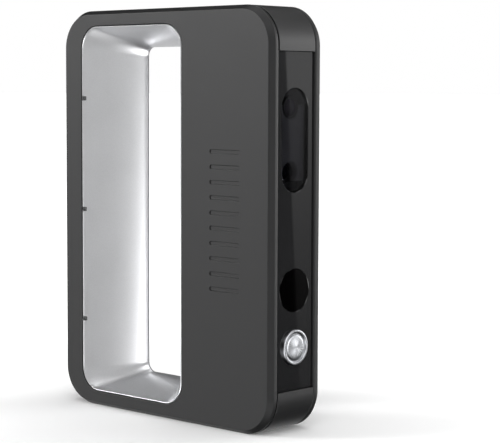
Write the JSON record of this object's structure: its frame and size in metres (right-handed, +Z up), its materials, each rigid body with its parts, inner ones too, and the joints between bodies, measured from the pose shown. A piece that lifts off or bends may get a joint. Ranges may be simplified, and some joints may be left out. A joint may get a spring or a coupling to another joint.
{
  "type": "handheld scanner",
  "caption": "Flat upright hand-held depth scanner with a sensor column behind a glossy front window and a large silver-lined finger opening as its handle.",
  "frame": {"origin": "centre of the base, on the surface the scanner stands on", "axes": "+Z up along the height, the sensor window faces -Y, the handle is at +Y, X is the thickness"},
  "size_m": [0.0316, 0.129, 0.178],
  "materials": {
    "cover_plastic": "fine satin moulded texture, charcoal",
    "frame_plastic": "fine satin moulded texture, charcoal",
    "liner_silver": "satin silver paint on moulded plastic",
    "window_gloss": "polished black",
    "clear_window": "smoked clear plastic",
    "filter_gloss": "polished infrared filter, deep black",
    "badge_metal": "polished silver",
    "optic_plastic": "matt black",
    "lens_glass": "coated optical glass with a violet tint",
    "bench_aluminium": "machined",
    "circuit_board": "green solder mask",
    "chip": "moulded package",
    "connector": "natural nylon",
    "shield_metal": "tinned sheet",
    "foam": "closed cell foam",
    "gland_rubber": "matt black rubber",
    "insert_brass": "turned",
    "screw_steel": "zinc plated"
  },
  "bodies": {
    "root": {"left_cover": "cover_plastic", "right_cover": "cover_plastic", "centre_frame": "frame_plastic", "left_liner": "liner_silver", "right_liner": "liner_silver", "front_window": "window_gloss", "window_gasket": "foam", "camera_glass": "clear_window", "projector_filter": "filter_gloss", "badge": "badge_metal", "camera_bezel": "optic_plastic", "optical_bench": "bench_aluminium", "main_board": "circuit_board", "depth_processor": "chip", "memory_chip": "chip", "flash_chip": "chip", "sensor_connector": "connector", "cable_header": "connector", "shield_can": "shield_metal", "thermal_pad": "foam", "heat_spreader": "bench_aluminium", "cable_gland": "gland_rubber", "tripod_insert": "insert_brass", "left_liner_clip_1": "optic_plastic", "left_liner_clip_2": "optic_plastic", "left_liner_clip_3": "optic_plastic", "right_liner_clip_1": "optic_plastic", "right_liner_clip_2": "optic_plastic", "right_liner_clip_3": "optic_plastic", "infrared_camera_housing": "optic_plastic", "infrared_camera_barrel": "optic_plastic", "infrared_camera_lens": "lens_glass", "infrared_camera_chip": "chip", "colour_camera_housing": "optic_plastic", "colour_camera_barrel": "optic_plastic", "colour_camera_lens": "lens_glass", "colour_camera_chip": "chip", "projector_housing": "optic_plastic", "projector_barrel": "optic_plastic", "projector_lens": "lens_glass", "projector_chip": "chip", "board_screw_1": "screw_steel", "board_screw_2": "screw_steel", "board_screw_3": "screw_steel", "board_screw_4": "screw_steel", "cover_screw_1": "screw_steel", "cover_screw_2": "screw_steel", "cover_screw_3": "screw_steel", "cover_screw_4": "screw_steel", "cover_screw_5": "screw_steel", "cover_screw_6": "screw_steel", "bench_screw_1": "screw_steel", "bench_screw_2": "screw_steel", "bench_screw_3": "screw_steel", "bench_screw_4": "screw_steel"}
  },
  "joints": []
}
